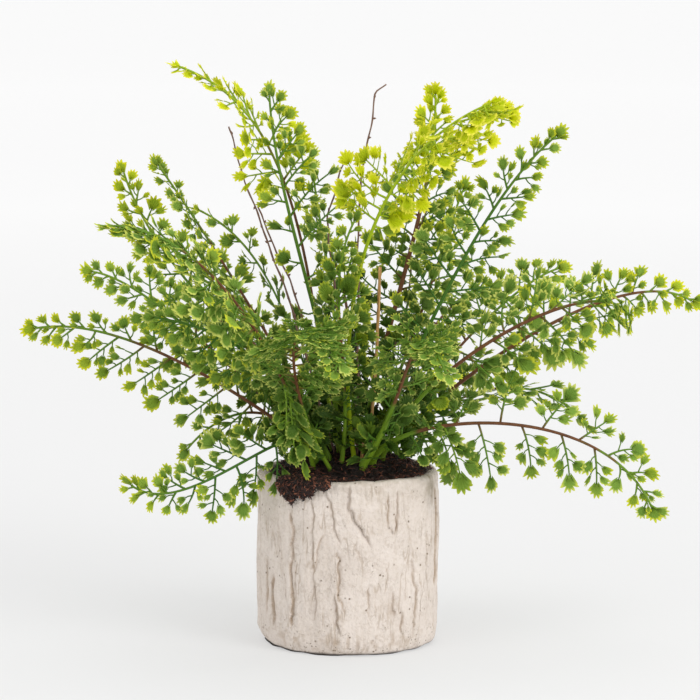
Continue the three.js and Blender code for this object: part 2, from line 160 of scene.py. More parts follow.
def makePiece(name, heap, *materials):
    mesh = bpy.data.meshes.new(name)
    mesh.from_pydata((np.concatenate(heap["points"]) * mm).tolist(), [], heap["faces"])
    mesh.polygons.foreach_set("material_index", heap["parts"])
    mesh.polygons.foreach_set("use_smooth", [True] * len(heap["faces"]))
    for key, parts in heap["values"].items():
        layer = mesh.attributes.new(key, "FLOAT", "POINT")
        layer.data.foreach_set("value", np.concatenate(parts).astype(np.float32))
    for material in materials:
        mesh.materials.append(material)
    piece = bpy.data.objects.new(name, mesh)
    scene.collection.objects.link(piece)
    return piece


def tube(path, radii, across, sides=4, profile=1.0):
    along = unit(np.gradient(path, axis=0))
    side = across - np.sum(across * along, axis=1, keepdims=True) * along
    side = unit(side)
    other = np.cross(along, side)
    turns = np.arange(sides) * 2 * math.pi / sides
    rings = (
        np.cos(turns)[None, :, None] * side[:, None] + np.sin(turns)[None, :, None] * other[:, None]
    )
    reach = np.asarray(radii, float)[:, None] * np.broadcast_to(profile, sides)[None]
    points = (path[:, None] + rings * reach[..., None]).reshape(-1, 3)
    faces = [
        (k * sides + i, k * sides + (i + 1) % sides, (k + 1) * sides + (i + 1) % sides, (k + 1) * sides + i)
        for k in range(len(path) - 1)
        for i in range(sides)
    ]
    last = (len(path) - 1) * sides
    faces += [tuple(range(sides - 1, -1, -1)), tuple(range(last, last + sides))]
    return points, faces


# The potting bark: its heap, the lobes that hang over the rim, and the shreds on both

bark = {
    "edge": 113.6, "mound": 13, "peak": (0, 6), "spread": 50, "bump": 1.1,
    "outer": 51.6, "under": 10.35, "shreds": 2600, "spillShreds": 950, "crumbs": 330,
    "lobes": [
        (-47, 115), (-44.5, 108), (-42, 105), (-39, 103.5), (-35.6, 100), (-33, 105), (-30, 107.5), (-27.5, 103.5),
        (-25.5, 108), (-23, 107.5), (-21, 107.5), (-19.7, 113.5), (-16, 113), (-14, 112), (-12, 114.5), (-10, 116),
    ],
}


def soilHeight(x, y):
    away = np.hypot(x - bark["peak"][0], y - bark["peak"][1]) / bark["spread"]
    bumps = np.sin(x / 5.1 + 1) * np.cos(y / 4.3) + 0.6 * np.sin((x + 2 * y) / 7.7)
    heap = bark["mound"] * np.maximum(0, 1 - away * away)
    return bark["edge"] + heap + bark["bump"] * bumps * (1 - 0.5 * away)


def shred(heap, rng, place, normal, size):
    along = unit(np.cross(normal, rng.normal(size=3)))
    along = unit(along + normal * rng.normal(0, 0.16))
    length = size * rng.uniform(0.5, 1.4)
    steps = np.linspace(-0.5, 0.5, 4)
    bend = rng.normal(0, 0.6) * length
    path = place + np.outer(steps * length, along) + np.outer(bend * (0.25 - steps**2), unit(np.cross(along, normal)))
    path += np.outer(rng.normal(0.3, 0.5) * (0.25 - steps**2) * 4, normal)
    width = rng.uniform(0.24, 0.6)
    points, faces = tube(path, width * np.array([0.45, 1, 0.9, 0.3]), normal, 4, [0.5, 1, 0.5, 1])
    pour(heap, points, faces, tone=rng.random())


def spillSurface(turn, down):
    lobeAngles, lowest = np.transpose(bark["lobes"])
    low = min(116.5, np.interp(turn, lobeAngles, lowest) + 0.5 * math.sin(turn * 9.1))
    angle = math.radians(turn - 90)
    out = np.array([math.cos(angle), math.sin(angle), 0])
    radii, heights = [41, 52, 60.5, 63.4, 64.3, 63.2], [soilHeight(*(41 * out[:2])) + 1, 116.5, 117.6, 115.5, min(115, 0.5 * (115 + low)), low]
    place = np.interp(down, np.linspace(0, 1, 6), radii) * out
    place[2] = np.interp(down, np.linspace(0, 1, 6), heights)
    normal = unit(out * smooth(down, 0.3, 0.65) + np.array([0, 0, 1.0]) * (1 - smooth(down, 0.3, 0.7)))
    return place, normal


def makeBark(material):
    rng = np.random.default_rng(11)
    heap = newHeap()
    rings, sides = 40, 120
    radii = bark["outer"] * np.linspace(1, 0, rings, endpoint=False)
    turns = np.arange(sides) * 2 * math.pi / sides
    x, y = np.outer(radii, np.cos(turns)), np.outer(radii, np.sin(turns))
    z = soilHeight(x, y) + rng.normal(0, 0.35, x.shape) - 0.6
    under = np.stack([x[0], y[0], np.full(sides, bark["under"])], 1)
    points = np.concatenate([under, np.stack([x, y, z], -1).reshape(-1, 3), [[0, 0, bark["edge"] + bark["mound"]]]])
    faces = [tuple(range(sides - 1, -1, -1))]
    for k in range(rings):
        for i in range(sides):
            j = (i + 1) % sides
            faces.append((k * sides + i, k * sides + j, (k + 1) * sides + j, (k + 1) * sides + i))
    last = rings * sides
    faces += [(last + i, last + (i + 1) % sides, len(points) - 1) for i in range(sides)]
    pour(heap, points, faces, tone=0.0)
    for _ in range(bark["shreds"]):
        r, turn = bark["outer"] * math.sqrt(rng.random()) * 0.985, rng.uniform(0, 2 * math.pi)
        place = np.array([r * math.cos(turn), r * math.sin(turn), 0])
        place[2] = soilHeight(place[0], place[1]) + rng.uniform(-0.5, 1.4)
        shred(heap, rng, place, unit(np.array([0, 0, 1.0]) + rng.normal(0, 0.3, 3)), 5.4)
    turnsOver, downs = np.linspace(-47, -10, 60), np.linspace(0, 1, 26)
    grid = np.array([[spillSurface(t, d)[0] for d in downs] for t in turnsOver])
    grid += rng.normal(0, 0.3, grid.shape)
    faces = [
        (i * 26 + k, i * 26 + k + 1, (i + 1) * 26 + k + 1, (i + 1) * 26 + k)
        for i in range(59)
        for k in range(25)
    ]
    pour(heap, grid.reshape(-1, 3), faces, tone=0.0)
    for _ in range(bark["spillShreds"]):
        place, normal = spillSurface(rng.uniform(-46, -11), rng.random() ** 0.8)
        shred(heap, rng, place + normal * rng.uniform(-0.2, 1.2), normal, 3.6)
    for _ in range(bark["crumbs"]):
        around = rng.uniform(-78, 120)
        turn = math.radians(around - 90)
        reach = rng.uniform(50, 56.5 if around > -14 else 53)
        place = np.array([reach * math.cos(turn), reach * math.sin(turn), 115.2 + 0.9 * rng.random()])
        place[2] += pot["lift"] * (0.5 + 0.5 * math.cos(math.radians(around))) ** 2
        shred(heap, rng, place, unit(np.array([0, 0, 1.0]) + rng.normal(0, 0.2, 3)), 3.4)
    return makePiece("barkShreds", heap, material)


# The pot: its wall is cast like tree bark

pot = {"radius": 60, "height": 115, "sides": 900, "rows": 84, "foot": 10, "top": 112.4, "lift": 1.7}
furrow = {"depth": 0.35, "width": 1.6, "score": 0.85, "scoreWidth": 0.45, "step": 0.9, "cracks": 44}
frontFurrows = [
    [(-54, 106), (-50, 88), (-46, 62), (-41, 34)],
    [(-39, 94), (-37, 84), (-39, 58), (-37, 34), (-38, 18)],
    [(-66, 60), (-62, 40), (-64, 22)],
    [(-23, 102), (-22, 88), (-23, 66), (-21, 46), (-20, 36), (-23, 24)],
    [(-15, 82), (-19, 70), (-22, 56)],
    [(-15, 112), (-11, 100), (-8, 84), (-5, 76)],
    [(-8, 70), (-5, 58), (-6, 42), (-3, 30)],
    [(-8, 42), (-8, 24), (-5, 15)],
    [(1, 112), (2, 98), (10, 82), (16, 74)],
    [(0.5, 113), (1.5, 99), (9.5, 83), (15.5, 75)],
    [(25, 108), (26, 86), (30, 80), (33, 88), (33, 108)],
    [(25.4, 107), (26.4, 87), (30, 81), (32.6, 88), (32.6, 107)],
    [(30, 42), (31, 24)],
    [(36, 30), (37, 12)],
    [(45, 62), (47, 40), (45, 14)],
    [(12, 48), (13, 36), (12, 26)],
    [(5, 74), (7, 68), (10, 62)],
    [(-56, 50), (-57, 34), (-54, 16)],
    [(60, 98), (58, 60), (61, 30)],
    [(74, 106), (77, 84), (74, 40)],
]
backFurrows = []
for number in range(13):
    middle, top, drop = 94 + number * 14.4, 100 + 12 * draw(number, 1), 48 + 44 * draw(number, 2)
    backFurrows.append(
        [(middle + 7 * (draw(number, 3 + k) - 0.5), top - s * drop) for k, s in enumerate((0, 0.35, 0.7, 1))]
    )


def roundNoise(seed, cells, rows, angles, heights):  # smooth noise that meets itself round the pot
    grid = np.random.default_rng(seed).uniform(-1, 1, (rows + 2, cells))
    across, up = angles / 360 * cells, np.clip(heights / pot["height"], 0, 1) * rows
    i, j = np.floor(across).astype(int), np.floor(up).astype(int)
    fx, fy = across - i, up - j
    fx, fy = fx * fx * (3 - 2 * fx), fy * fy * (3 - 2 * fy)
    i, nextI = i % cells, (i + 1) % cells
    low = grid[j, i] * (1 - fx) + grid[j, nextI] * fx
    high = grid[j + 1, i] * (1 - fx) + grid[j + 1, nextI] * fx
    return low * (1 - fy) + high * fy


def potRelief(angles, heights):
    t = np.radians(angles)
    relief = 0.5 * np.sin(7 * t + 1.3 * np.sin(heights / 17))
    relief += 0.35 * np.sin(13 * t + 2 + 1.6 * np.sin(heights / 23 + 1))
    relief += 0.26 * roundNoise(3, 74, 5, angles, heights) + 0.15 * roundNoise(4, 190, 14, angles, heights)
    relief += 0.2 * roundNoise(5, 46, 14, angles, heights) + 0.09 * roundNoise(7, 240, 75, angles, heights)
    rough = np.clip(roundNoise(9, 120, 42, angles, heights) - 0.1, 0, 1) * (1 - smooth(heights, 9, 20))
    relief -= 0.7 * rough
    depth = 0.45 * np.clip(rough * 2, 0, 1)
    broken = 0.45 + 0.55 * smooth(roundNoise(12, 46, 16, angles, heights), -0.5, 0.25)
    warp = 1.3 * roundNoise(6, 60, 14, angles, heights) + 0.8 * roundNoise(10, 170, 44, angles, heights)
    for number, places in enumerate(frontFurrows + backFurrows):
        low, high = places[-1][1], places[0][1]
        if low > min(z for _, z in places):  # the arch goes down and up again
            parts = [places[:3], places[2:][::-1]]
        else:
            parts = [places]
        for part in parts:
            a, z = np.transpose(part)
            order = np.argsort(z)
            middleAt = np.interp(heights, z[order], a[order])
            ends = smooth(heights, z.min() - 3, z.min() + 5) * (1 - smooth(heights, z.max() - 4, z.max() + 3))
            aside = np.radians((angles - middleAt + 540) % 360 - 180) * pot["radius"] + warp
            gentle = np.exp(-((aside / furrow["width"]) ** 2))
            score = np.exp(-((aside / furrow["scoreWidth"]) ** 2))
            ends = ends * (0.72 + 0.4 * draw(number, 8))
            lean = 1 if number in (8, 9) or draw(number, 9) > 0.5 else -1
            step = lean * np.tanh(aside / 0.4) * np.exp(-np.abs(aside) / 4.2)
            relief += ends * (furrow["step"] * step - furrow["depth"] * gentle - furrow["score"] * score * broken)
            depth = np.maximum(depth, ends * (0.22 * gentle + 0.7 * score * broken))
    for i in range(furrow["cracks"]):
        middle, top = 360 * draw(i, 21), 20 + 92 * draw(i, 22)
        bottom = top - 8 - 22 * draw(i, 23)
        ends = smooth(heights, bottom - 3, bottom + 3) * (1 - smooth(heights, top - 3, top + 3))
        lean = (draw(i, 24) - 0.5) * 0.24 * (heights - top)
        aside = np.radians((angles - middle + 540) % 360 - 180) * pot["radius"] + lean + warp
        score = ends * np.exp(-((aside / 0.5) ** 2))
        relief -= 0.3 * score
        depth = np.maximum(depth, 0.5 * score)
    return relief, depth


def makePot(material):
    angles = np.arange(pot["sides"]) * 360 / pot["sides"]
    wall = [(60, z, 1) for z in np.linspace(pot["foot"], pot["top"], pot["rows"])]
    foot = [
        (50, 0, 0), (55.6, 0, 0.3), (56.4, 0.5, 0.4), (57.2, 1.2, 0.5), (58.2, 2.6, 0.6), (59, 4.6, 0.8), (59.6, 7.2, 0.9),
    ]
    rim = [
        (59.7, 113.3, 0.9), (59.0, 114.3, 0.7), (57.9, 114.9, 0.45), (56.4, 115.1, 0.3), (54.4, 115, 0.2),
        (53, 114.5, 0.1), (52.2, 113.4, 0), (52, 111, 0), (52, 100, 0), (52, 10, 0), (20, 10, 0),
    ]
    heap = newHeap()
    points, grooves = [], []
    for radius, height, share in foot + wall + rim:
        relief, depth = potRelief(angles, np.full(pot["sides"], float(height)))
        chip = 0.5 * roundNoise(8, 40, 1, angles, np.zeros(pot["sides"]))
        lift = (chip - 0.3) * smooth(height, 108, 114) * (share > 0 or height > 112)
        lift = lift + pot["lift"] * (0.5 + 0.5 * np.cos(np.radians(angles))) ** 2 * smooth(height, 90, 115)
        worn = roundNoise(14, 9, 1, angles, np.zeros(pot["sides"])) + np.cos(np.radians(angles + 75))
        if 0 < height < pot["foot"]:
            radius = radius - 1.5 * np.clip(worn + 0.2, -0.3, 1.8) * (1 - height / pot["foot"])
        lift = lift + 0.6 * (0.9 + roundNoise(15, 34, 1, angles, np.zeros(pot["sides"]))) * (0 < share) * (height < 2)
        r = radius + share * relief
        turn = np.radians(angles - 90)
        points.append(np.stack([r * np.cos(turn), r * np.sin(turn), height + lift], 1))
        grooves.append(depth * share)
    count, sides = len(points), pot["sides"]
    faces = [tuple(range(sides - 1, -1, -1)), tuple(range((count - 1) * sides, count * sides))]
    for k in range(count - 1):
        for i in range(sides):
            j = (i + 1) % sides
            faces.append((k * sides + i, k * sides + j, (k + 1) * sides + j, (k + 1) * sides + i))
    points = np.concatenate(points)
    around = np.degrees(np.arctan2(points[:, 0], -points[:, 1]))
    # a stain at the upper right, and the wall darker towards the rim all round
    stain = np.exp(-(((around - 64) / 9) ** 2) - ((points[:, 2] - 110) / 14) ** 2)
    stain = np.maximum(stain, 0.42 * smooth(points[:, 2], 88, 114))
    low = 1 - smooth(points[:, 2], 6, 24)
    # under: painted contact shadow, the wall is painted nearly black below about 2 mm where it meets the floor
    under = 1 - smooth(points[:, 2], 0.9, 1.9)
    pour(heap, points, faces, groove=np.concatenate(grooves), stain=stain, low=low, under=under)
    return makePiece("castPot", heap, material)


def concrete():  # matt cast concrete: warm grey, tan in the scores, streaked and pitted
    material, tree = newMaterial("castConcrete")
    body = blend(tree, ramped(tree, noise(tree, 26, 4), (0.35, "#000000"), (0.65, "#FFFFFF")), "#D8CCC2", "#E1D6CD")
    streaks = ramped(tree, noise(tree, 2.2, 3, (1, 1, 0.1)), (0.5, "#000000"), (0.72, "#707070"))
    body = blend(tree, streaks, body, "#CBBDAF")
    bands = ramped(tree, noise(tree, 8, 2, (1, 1, 0.07)), (0.5, "#000000"), (0.62, "#5C5C5C"))
    body = blend(tree, bands, body, "#C9BBAD")
    plates = contour(tree, noise(tree, 12, 3, (1, 1, 0.17)), 0.022)
    scratches = contour(tree, noise(tree, 4.6, 2, (1, 1, 0.6), 1.4), 0.045)
    lines = blend(tree, 1.0, blend(tree, 0.8, "#000000", plates), blend(tree, 0.46, "#000000", scratches), blend_type="LIGHTEN")
    patchy = ramped(tree, noise(tree, 14, 3), (0.42, "#101010"), (0.6, "#E0E0E0"))
    lines = blend(tree, 1.0, lines, patchy, blend_type="MULTIPLY")
    body = blend(tree, lines, body, "#A8937C")
    grit = ramped(tree, noise(tree, 2.4, 6), (0.5, "#000000"), (0.66, "#909090"))
    body = blend(tree, grit, body, "#BDAD9C")
    body = blend(tree, ramped(tree, attribute(tree, "groove"), (0.08, "#000000"), (0.72, "#DCDCDC")), body, "#A48D75")
    # the stain and the darker top band, patchy with noise
    stain = addNode(tree, "Math", {0: attribute(tree, "stain"), 1: noise(tree, 5, 5)}, operation="MULTIPLY").outputs[0]
    body = blend(tree, ramped(tree, stain, (0.12, "#000000"), (0.55, "#E0E0E0")), body, "#93846C")
    place = addNode(tree, "TexCoord").outputs["Object"]
    cells = addNode(tree, "TexVoronoi", {"Vector": place, "Scale": 1 / (5.5 * mm)}).outputs["Distance"]
    many = addNode(tree, "TexVoronoi", {"Vector": place, "Scale": 1 / (2.3 * mm)}).outputs["Distance"]
    pits = ramped(tree, cells, (0.07, "#FFFFFF"), (0.16, "#000000"))
    lowPits = ramped(tree, many, (0.13, "#FFFFFF"), (0.25, "#000000"))
    lowPits = blend(tree, attribute(tree, "low"), "#000000", lowPits)
    patch = ramped(tree, noise(tree, 9, 2), (0.44, "#000000"), (0.56, "#FFFFFF"))
    pits = blend(tree, 1.0, pits, patch, blend_type="MULTIPLY")
    lowPits = blend(tree, 1.0, lowPits, patch, blend_type="MULTIPLY")
    allPits = blend(tree, 1.0, pits, lowPits, blend_type="LIGHTEN")
    body = blend(tree, allPits, body, "#85735F")
    # painted contact shadow along the foot
    body = blend(tree, attribute(tree, "under"), body, "#38322D")
    knobs = addNode(tree, "Bump", {"Height": noise(tree, 4.2, 4, (1, 1, 0.55)), "Strength": 0.8, "Distance": 1.7 * mm})
    grainValues = {"Height": noise(tree, 1.9, 7), "Strength": 0.95, "Distance": 1 * mm, "Normal": knobs.outputs[0]}
    grain = addNode(tree, "Bump", grainValues)
    scored = addNode(tree, "Bump", {"Height": lines, "Strength": 0.8, "Distance": 0.6 * mm, "Normal": grain.outputs[0]}, invert=True)
    streaked = addNode(tree, "Bump", {"Height": streaks, "Strength": 0.35, "Distance": 0.3 * mm, "Normal": scored.outputs[0]})
    pitted = addNode(tree, "Bump", {"Height": allPits, "Strength": 0.8, "Distance": 0.5 * mm, "Normal": streaked.outputs[0]}, invert=True)
    shader = addNode(tree, "BsdfPrincipled", {"Base Color": body, "Roughness": 0.86, "Normal": pitted.outputs[0]})
    surface(tree, shader.outputs[0])
    return material


def coir():  # shredded bark: dark, dry, each shred its own brown
    material, tree = newMaterial("barkShredded")
    tone = attribute(tree, "tone")
    body = ramped(tree, tone, (0, "#0B0504"), (0.5, "#26120C"), (0.82, "#623324"), (1, "#AD6C4E"))
    body = blend(tree, ramped(tree, noise(tree, 2.5, 3), (0.42, "#000000"), (0.62, "#D0D0D0")), body, "#24140E")
    shader = addNode(tree, "BsdfPrincipled", {"Base Color": body, "Roughness": 0.7})
    surface(tree, shader.outputs[0])
    return material


potPiece = makePot(concrete())
barkPiece = makeBark(coir())
for piece, node, slotName in ((potPiece, "pot", "concrete"), (barkPiece, "potting_bark", "potting_bark")):
    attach(piece, "root")
    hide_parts(node)
print("pot and potting bark made")


# The fronds: each on its rib, with alternate sprays of toothed leaflets on thin stalks

usual = {
    "face": (0, -1, 0.2), "twist": 0, "reach": 40, "uneven": 0, "bare": 0.3, "lime": 0.06, "gold": 0.2, "brown": 0.55,
    "grow": 1, "margin": 0.3, "dense": 1, "roll": 26, "girth": (1.2, 1), "kind": "big", "tuft": (9, 14, 32), "sprigs": [],
    "limeFrom": (0.4, 0.62), "crowd": 1.15, "full": 1.25, "spread": (68, 38), "back": 4, "stem": 0.5, "first": 0.75,
}
fronds = [
    {"foot": (-17, -7), "low": (-59, -14, 158), "high": (-130, -26, 200), "tip": (-204, -38, 215),
     "reach": 42, "uneven": 0.2, "brown": 0.72, "lime": 0.25, "gold": 0.12, "margin": 0.7, "dense": 1.06,
     "crowd": 1.35, "grow": 0.94, "girth": (1.2, 1.15)},
    {"foot": (-21, -15), "low": (-44, -36, 139), "high": (-93, -57, 117), "tip": (-140, -76, 118), "reach": 36,
     "margin": 0.5, "dense": 1.3, "crowd": 1.2, "brown": 0, "stem": 0.1, "tuft": (7, 10, 26)},
    {"foot": (-17, 1), "low": (-72, 6, 177), "high": (-125, 2, 224), "tip": (-168, -6, 248),
     "reach": 36, "twist": 10, "dense": 0.88},
    {"foot": (-14, 16), "low": (-61, 38, 183), "high": (-114, 52, 241), "tip": (-151, 58, 307),
     "face": (0.3, -1, 0), "reach": 42, "lime": 0.2, "gold": 0.42, "margin": 0.5, "dense": 0.9},
    {"foot": (-23, -23), "low": (-49, -62, 198), "high": (-93, -94, 263), "tip": (-150, -114, 291),
     "face": (-0.2, -0.5, 1), "tipFace": (0, -0.12, 1), "reach": 48, "bare": 0.37, "brown": 0.7, "grow": 1.27, "margin": 0.85,
     "dense": 1.85, "roll": 20, "gold": 0.06, "tuft": (9, 12, 30), "back": 12,
     "sprigs": [("long", 0.2, (0.22, -0.4, -1), 50), ("long", 0.22, (0.1, -0.45, -1), 46), ("long", 0.26, (0, -0.3, -1), 44)]},
    {"foot": (-11, 8), "low": (-48, 20, 192), "high": (-90, 28, 260), "tip": (-126, 32, 314),
     "face": (0.76, -0.4, 0.47), "uneven": 0.5, "reach": 21, "brown": 0.7, "margin": 0.5, "dense": 1.9},
    {"foot": (-6, 2), "low": (-23, 6, 225), "high": (-48, -12, 323), "tip": (-108, -46, 386),
     "face": (-0.5, -0.6, 0.6), "tipFace": (0.3, -0.35, 1), "reach": 34, "bare": 0.56, "dense": 1.5, "crowd": 1.4, "lime": 0.78, "brown": 0.68, "margin": 0.5,
     "tuft": (6, 10, 22)},
    {"foot": (-4, -6), "low": (-19, -13, 210), "high": (-39, -22, 291), "tip": (-51, -28, 366),
     "face": (0, -1, 0), "reach": 36, "uneven": -0.34, "bare": 0.46, "brown": 0, "girth": (1.4, 1.3), "grow": 0.98,
     "dense": 0.8, "margin": 1.1,
     "lime": 0.08, "gold": 0.1, "tuft": (7, 10, 20), "stem": 0.35},
    {"foot": (0, 14), "low": (-8, 26, 205), "high": (-17, 36, 266), "tip": (-24, 42, 312),
     "face": (0.9, -0.5, 0), "reach": 24, "brown": 0.3, "dense": 0.85, "tuft": (6, 10, 20)},
    {"foot": (-7, 23), "low": (-31, 46, 182), "high": (-58, 62, 240), "tip": (-102, 76, 280),
     "face": (-0.7, 0.1, 0.7), "reach": 30, "brown": 0, "dense": 0.8, "tuft": (6, 10, 20)},
    {"foot": (4, -14), "low": (2, -37, 221), "high": (28, -62, 308), "tip": (90, -88, 366),
     "face": (0.15, -1, 0.45), "tipFace": (0.05, -0.2, 1), "reach": 45, "bare": 0.56, "twist": -10, "uneven": 0.34,
     "spread": (84, 78), "first": 0.55, "full": 1.6, "back": 20, "stem": 1,
     "lime": 1, "limeFrom": (0.55, 0.6), "brown": 0, "grow": 1.05, "dense": 1.95, "margin": 0.5, "kind": "crown",
     "roll": 34, "girth": (1.3, 1.25), "tuft": (8, 10, 22),
     "sprigs": [("long", 0.9, (1, -0.3, -0.3), 22), ("long", 0.95, (1, -0.3, -0.16), 19), ("long", 0.98, (1, -0.3, 0.04), 15)]},
    {"foot": (15, 0), "low": (50, 2, 203), "high": (90, -4, 280), "tip": (136, -10, 338),
     "face": (0.1, -1, 0), "brown": 0, "lime": 0.12, "margin": 0.5, "dense": 0.9, "girth": (1.3, 1.25), "stem": 0.1},
    {"foot": (23, 1), "low": (85, 0, 181), "high": (164, 6, 225), "tip": (228, 6, 227),
     "face": (0, -1, 0.4), "reach": 34, "bare": 0.42, "lime": 0.2, "brown": 0.85, "margin": 0.75, "dense": 1.08,
     "girth": (1.3, 1.3), "back": 10},
    {"foot": (23, -9), "low": (71, -28, 189), "high": (141, -50, 231), "tip": (180, -100, 228),
     "face": (0.1, -1, 0.6), "tipFace": (1, 0.3, 0.3), "reach": 48, "bare": 0.36, "brown": 0.72, "gold": 0.1, "grow": 1.2,
     "margin": 1, "roll": 24, "girth": (1.3, 1.3), "back": 12},
    {"foot": (16, -20), "low": (60, -38, 150), "high": (138, -54, 148), "tip": (197, -68, 102),
     "reach": 50, "brown": 0.8, "dense": 0.8, "crowd": 1.5, "spread": (84, 46), "gold": 0.1, "grow": 1.13, "margin": 0.45,
     "girth": (2, 1.2), "back": 10, "sprigs": [("big", 0.345, (0.34, -0.2, -1), 46)]},
    {"foot": (-12, -28), "low": (-33, -54, 179), "high": (-31, -96, 220), "tip": (-4, -146, 208),
     "face": (0, -0.16, 1), "reach": 50, "margin": 0, "dense": 2.5, "roll": 13, "grow": 0.86, "gold": 0, "lime": 0},
    {"foot": (10, -27), "low": (34, -56, 179), "high": (46, -92, 214), "tip": (62, -136, 200),
     "face": (0.1, -0.3, 1), "margin": 0.05, "dense": 2, "roll": 16, "grow": 0.88, "gold": 0, "lime": 0,
     "girth": (2.1, 1.1)},
    {"foot": (9, 7), "low": (28, 20, 208), "high": (49, 30, 288), "tip": (58, 26, 362),
     "face": (0, -1, 0.1), "reach": 44, "brown": 0.72, "lime": 0.1, "gold": 0.8, "grow": 1.05, "dense": 1.15,
     "margin": 0.65, "girth": (1.7, 1.6), "back": 12, "stem": 0.15},
    {"foot": (-4, -20), "low": (-3, -34, 187), "high": (-6, -46, 240), "tip": (4, -54, 287),
     "face": (-0.3, -1, 0.1), "reach": 30,
     "sprigs": [("broad", 0.62, (0.42, -0.5, 0.85), 24), ("broad", 0.6, (-0.6, -0.5, 0.7), 23)]},
    {"foot": (-25, 3), "low": (-49, -1, 150), "high": (-78, -10, 152), "tip": (-106, -20, 132),
     "face": (0, -1, 0.4), "reach": 26, "dense": 0.9, "tuft": (7, 10, 26)},
    {"foot": (-13, -15), "low": (-51, -36, 185), "high": (-87, -60, 215), "tip": (-124, -80, 228),
     "face": (-0.2, -1, 0.6), "reach": 36, "margin": 0.25, "dense": 1.05, "roll": 20, "gold": 0.05,
     "brown": 0.3, "back": 22, "stem": 0.1, "girth": (1.5, 1.3)},
    {"foot": (14, 17), "low": (45, 42, 202), "high": (66, 60, 261), "tip": (78, 72, 294),
     "face": (0.3, -1, 0.2), "reach": 36},
    {"foot": (23, 11), "low": (62, 34, 177), "high": (106, 50, 220), "tip": (142, 58, 242),
     "face": (0.1, -0.8, 0.7)},
    {"foot": (3, 23), "low": (0, 64, 208), "high": (-12, 98, 250), "tip": (-26, 126, 270),
     "face": (0, 0.7, 0.8)},
    {"foot": (-19, 20), "low": (-56, 66, 178), "high": (-92, 112, 212), "tip": (-124, 152, 208),
     "face": (-0.3, 0.5, 1)},
    {"foot": (17, 25), "low": (50, 78, 186), "high": (84, 124, 216), "tip": (114, 160, 202),
     "face": (0.3, 0.5, 1)},
    {"foot": (-6, 29), "low": (-14, 76, 170), "high": (-24, 124, 186), "tip": (-30, 170, 160),
     "face": (0, 0.6, 1), "reach": 38},
    {"foot": (28, 19), "low": (76, 62, 152), "high": (124, 92, 154), "tip": (166, 112, 126),
     "face": (0.4, 0.3, 1), "reach": 34},
]
rib = {"foot": 1.4, "tip": 0.7, "buried": 9, "rise": 1.6, "steps": 54, "sides": 10}
spray = {"spacing": 7.5, "stalk": 0.72, "twig": 0.5, "gap": 4.3, "big": 11.6, "small": 9.2, "most": 8}
lowSpray = {"from": 0.03, "to": 0.38, "big": 13, "small": 10.5}
sprig = {"big": {"big": 15, "small": 13.5}, "long": {"big": 15, "small": 12.5}, "broad": {"big": 17, "small": 10}}


def fanTemplate(teeth, width, deep, opened, side, seed):  # round below, toothed above
    rng = np.random.default_rng(seed)
    pitch = 2 * opened / teeth
    half, low = 0.5 * (170 + opened), 0.5 + 0.5 * side
    turns, reach, ridge, frill = [-170, -half, -opened], [1, side, low], [0, 0, 0.2], [0.1, 0.3, 0.6]
    for k in range(teeth):
        middle = ((k + 0.5) * pitch - opened) * (1 - 0.1 / teeth)
        notch = 1 - deep * rng.uniform(0.7, 1.2)
        long = 0.98 + 0.1 * math.cos(math.radians(middle)) + rng.uniform(-0.12, 0.12)
        middle += pitch * rng.uniform(-0.12, 0.12)
        for shift, share in ((-fan["blunt"], fan["flank"]), (0, 1), (fan["blunt"], fan["flank"])):
            turns.append(middle + shift * pitch)
            reach.append(notch + share * (long - notch))
            ridge.append(share)
            frill.append(0.75 + 0.25 * share)
        if k < teeth - 1:
            turns.append((k + 1) * pitch - opened)
            reach.append(notch)
            ridge.append(0)
            frill.append(0.7)
    turns, reach = [*turns, opened, half, 170], [*reach, low, side, 1]
    ridge, frill = np.array([*ridge, 0.2, 0, 0]), [*frill, 0.6, 0.3, 0.1]
    turns, reach = np.radians(turns), np.array(reach)[:, None]
    arc = np.stack([width / 2 * np.sin(turns), fan["half"] * np.cos(turns)], 1)
    middle = np.array([0, fan["half"]])
    outline = middle + arc * reach
    inner = middle + arc * (0.45 * reach + 0.55 * (1 - deep)) * fan["core"]
    points = [np.zeros((1, 3))]
    for row, pleat in ((inner, 0.04), (outline, 0.07)):
        points.append(np.column_stack([row, (ridge - 0.5) * pleat]))
    n = len(outline)
    faces = [(0, 2 + k, 1 + k) for k in range(n - 1)] + [(0, 1, n)]
    faces += [(1 + k, 2 + k, n + k + 2, n + k + 1) for k in range(n - 1)]
    edge = np.concatenate([[0], np.zeros(n), frill])
    return {"points": np.concatenate(points), "faces": faces, "edge": edge, "vein": np.concatenate([[1], ridge, ridge])}


fan = {"blunt": 0.22, "flank": 0.6, "half": 0.5, "core": 0.58, "seat": 0.08}
forms = {  # teeth, width, depth of the notches, half of the toothed arc, reach of the flanks
    "big": (
        (6, 1.05, 0.35, 104, 0.77), (5, 1.01, 0.4, 97, 0.72), (7, 1.1, 0.31, 114, 0.83),
        (5, 0.9, 0.42, 91, 0.68), (6, 0.86, 0.35, 107, 0.75), (5, 0.96, 0.44, 87, 0.7),
    ),
    "small": (
        (4, 0.88, 0.46, 92, 0.71), (5, 0.94, 0.43, 106, 0.75), (3, 0.84, 0.52, 78, 0.7),
        (4, 0.8, 0.44, 94, 0.71), (4, 0.8, 0.46, 85, 0.74),
    ),
    "crown": (
        (6, 1.24, 0.32, 98, 0.8), (5, 1.18, 0.34, 90, 0.74), (7, 1.22, 0.3, 114, 0.84), (5, 1.04, 0.34, 110, 0.76),
    ),
    "broad": ((9, 0.98, 0.17, 108, 0.97), (8, 0.88, 0.2, 104, 0.95), (10, 0.8, 0.15, 112, 0.97), (7, 0.74, 0.2, 100, 0.95)),
    "long": ((7, 0.56, 0.2, 110, 0.95), (6, 0.5, 0.22, 100, 0.92), (8, 0.62, 0.18, 112, 0.95)),
}
